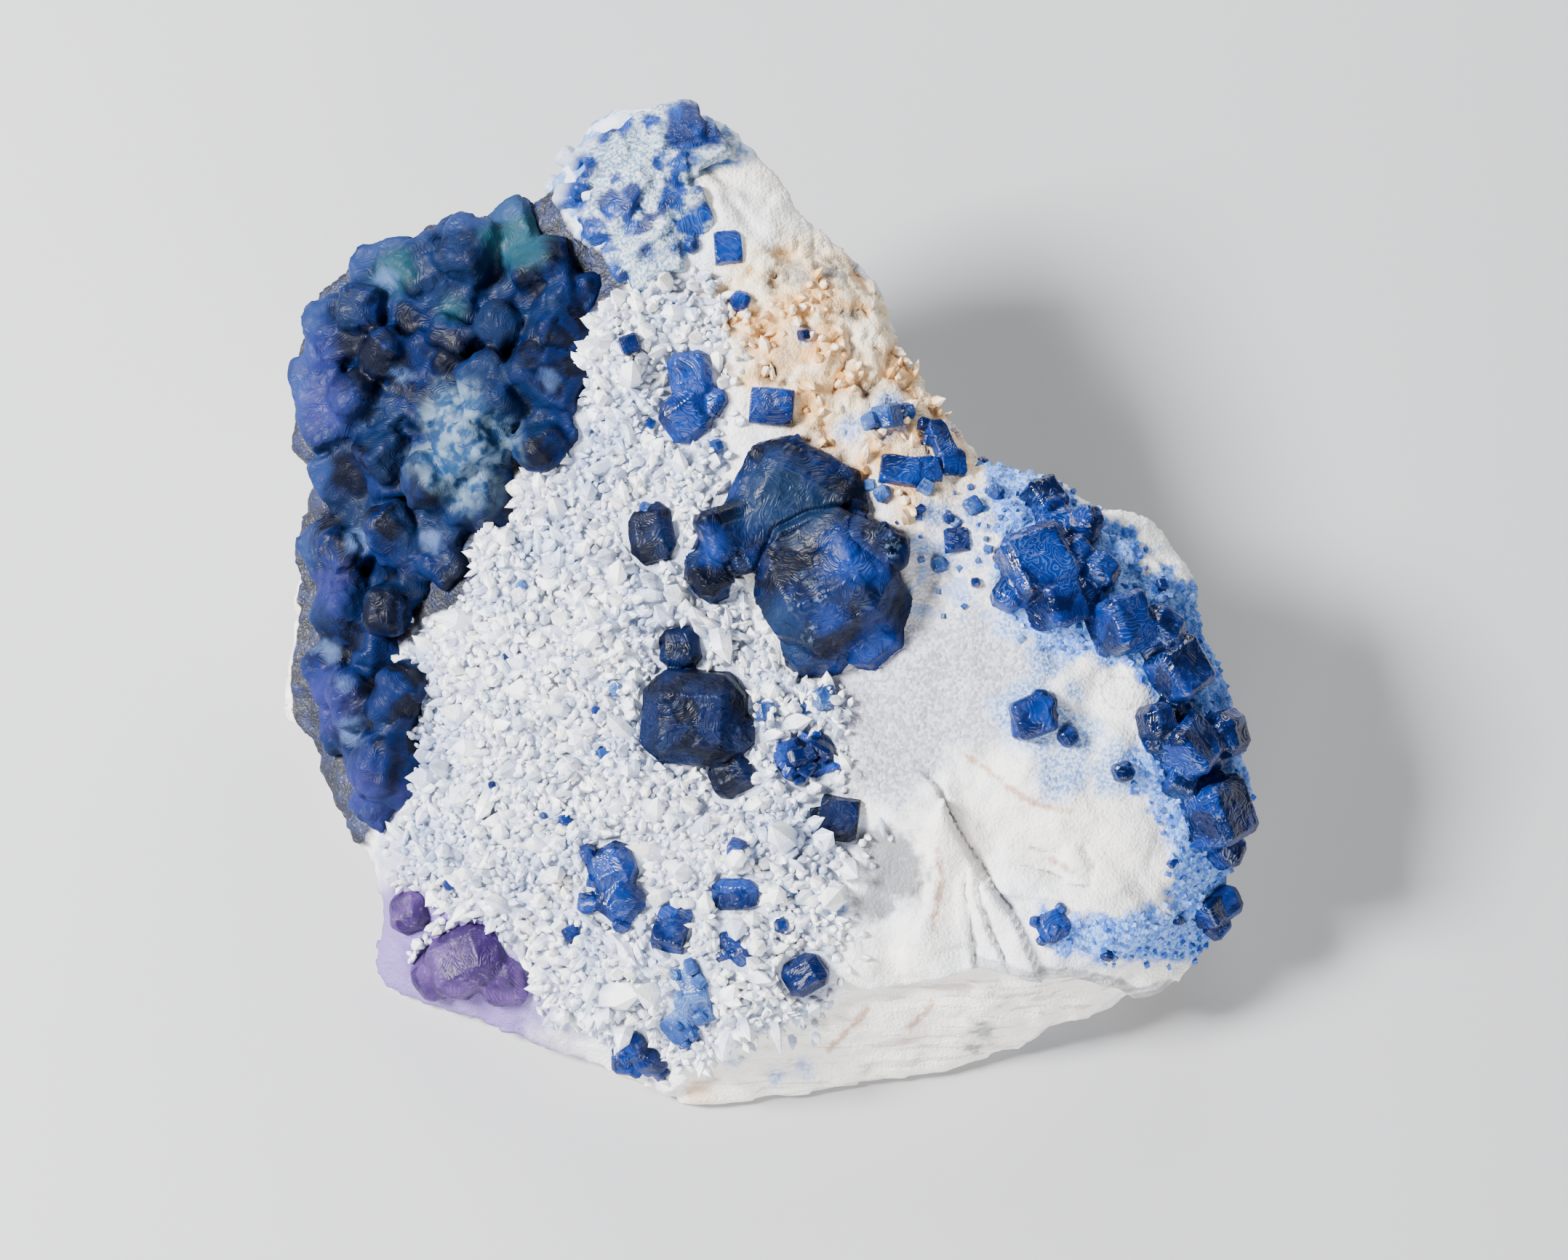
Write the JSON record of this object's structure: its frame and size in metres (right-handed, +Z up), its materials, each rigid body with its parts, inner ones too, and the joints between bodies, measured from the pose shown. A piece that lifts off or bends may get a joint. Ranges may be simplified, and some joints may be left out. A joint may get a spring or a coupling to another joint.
{
  "type": "fluorite cluster",
  "caption": "Palm-size mineral specimen: deep blue fluorite crystals grown on a block of drusy white quartz, with its underside cut flat so that it rests on a surface.",
  "frame": {"origin": "middle of the bounding box, on the flat underside", "axes": "+Z up; the show face with its crystals leans back towards +Y, so it faces up and towards -Y; +X to the right of someone who looks at that face"},
  "size_m": [0.0774, 0.0728, 0.0357],
  "materials": {
    "quartz_matrix": "white drusy and massive quartz, matt to sugary, with ochre stains and a pale blue crust",
    "deep_blue_fluorite": "vitreous, translucent, almost black where thick",
    "blue_fluorite": "vitreous, translucent cobalt blue",
    "pale_blue_fluorite": "sugary pale blue crust of small cubes",
    "purple_fluorite": "vitreous, translucent violet"
  },
  "bodies": {
    "root": {"matrix": "quartz_matrix", "fluorite_large_pair": "deep_blue_fluorite", "fluorite_left_of_pair": "deep_blue_fluorite", "fluorite_dark_cube": "deep_blue_fluorite", "fluorite_rosette": "blue_fluorite", "fluorite_square": "deep_blue_fluorite", "fluorite_lower_left": "deep_blue_fluorite", "fluorite_lens": "blue_fluorite", "fluorite_facet": "blue_fluorite", "fluorite_small_trio": "blue_fluorite", "fluorite_round": "blue_fluorite", "fluorite_pale_patch": "pale_blue_fluorite", "fluorite_foot_cluster": "blue_fluorite", "fluorite_upper_pair": "blue_fluorite", "fluorite_above_pair": "blue_fluorite", "fluorite_top_square": "blue_fluorite", "fluorite_shoulder_blocks": "blue_fluorite", "fluorite_small_cube": "blue_fluorite", "fluorite_right_crust": "deep_blue_fluorite", "fluorite_rim_beads": "blue_fluorite", "fluorite_inner_spot": "blue_fluorite", "fluorite_low_spot": "blue_fluorite", "fluorite_purple_large": "purple_fluorite", "fluorite_purple_small": "purple_fluorite", "fluorite_head_crust": "pale_blue_fluorite", "fluorite_dark_wall": "deep_blue_fluorite"}
  },
  "joints": []
}
